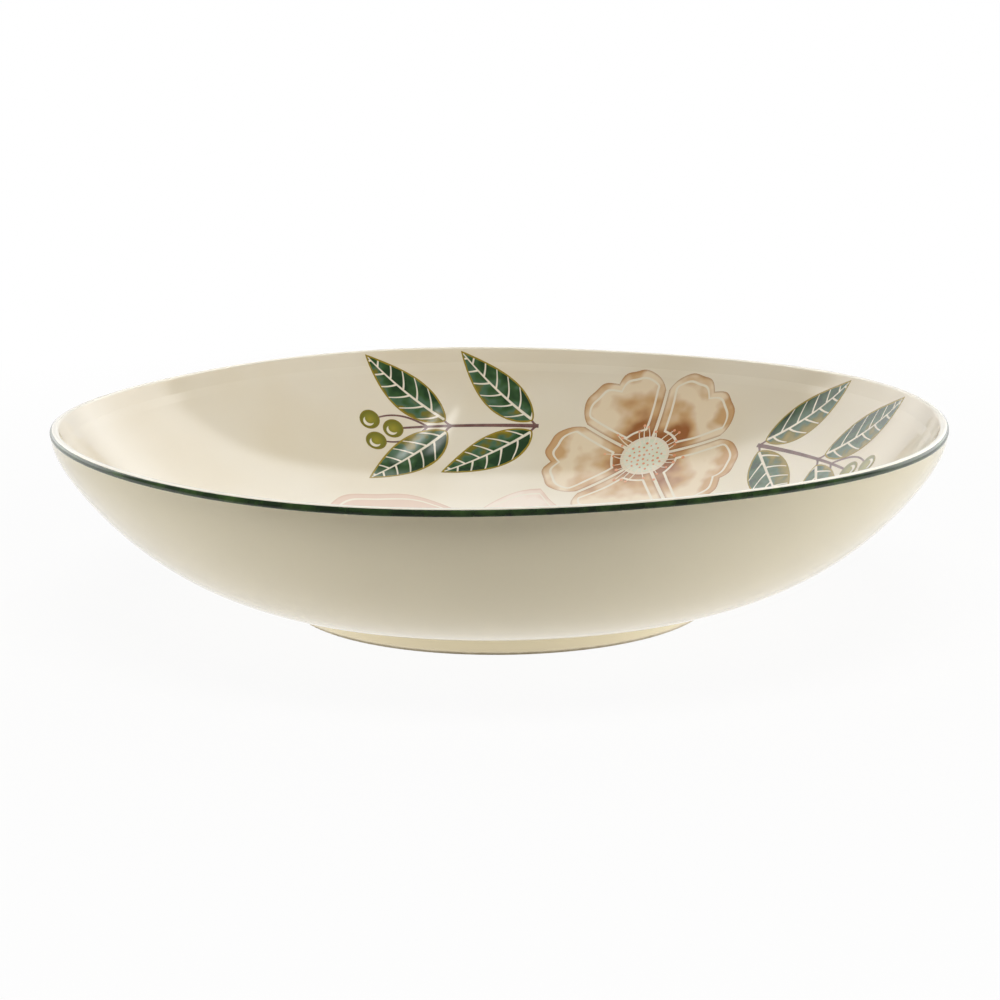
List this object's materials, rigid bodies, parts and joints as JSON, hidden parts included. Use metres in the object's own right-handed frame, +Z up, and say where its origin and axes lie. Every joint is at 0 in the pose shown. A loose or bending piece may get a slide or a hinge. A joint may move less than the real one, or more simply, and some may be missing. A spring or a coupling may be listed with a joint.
{
  "type": "porcelain serving bowl",
  "caption": "Wide shallow round porcelain serving bowl on a foot ring, cream glaze, painted rim line and a printed floral garland inside.",
  "frame": {"origin": "on the axis of the bowl, at the level of the surface it stands on", "axes": "+Z up along the bowl's axis, -Y towards the viewer, +X to the viewer's right; the printed garland runs from the back round the right-hand side to the front"},
  "size_m": [0.3052, 0.3052, 0.066],
  "materials": {
    "porcelain": "fired, unglazed",
    "cream_glaze": "glossy clear glaze over a cream body",
    "green_enamel": "brushed band, fired on",
    "tan_enamel": "printed wash, fired on",
    "blush_enamel": "pale printed wash, fired on",
    "heart_enamel": "printed, with dots, fired on",
    "leaf_enamel": "printed, with gold edge, fired on",
    "stem_enamel": "printed line, fired on",
    "berry_enamel": "printed, fired on"
  },
  "bodies": {
    "root": {"bowl_body": "porcelain", "foot_ring": "porcelain", "inner_glaze": "cream_glaze", "outer_glaze": "cream_glaze", "base_glaze": "cream_glaze", "rim_line": "green_enamel", "well_blossom_petals": "blush_enamel", "well_blossom_heart": "heart_enamel", "blossom_1_petals": "tan_enamel", "blossom_1_heart": "heart_enamel", "blossom_2_petals": "tan_enamel", "blossom_2_heart": "heart_enamel", "blossom_3_petals": "tan_enamel", "blossom_3_heart": "heart_enamel", "sprig_1_leaves": "leaf_enamel", "sprig_1_stem": "stem_enamel", "sprig_1_berries": "berry_enamel", "sprig_2_leaves": "leaf_enamel", "sprig_2_stem": "stem_enamel", "sprig_2_berries": "berry_enamel", "sprig_3_leaves": "leaf_enamel", "sprig_3_stem": "stem_enamel", "sprig_3_berries": "berry_enamel", "sprig_4_leaves": "leaf_enamel", "sprig_4_stem": "stem_enamel", "sprig_4_berries": "berry_enamel"}
  },
  "joints": []
}
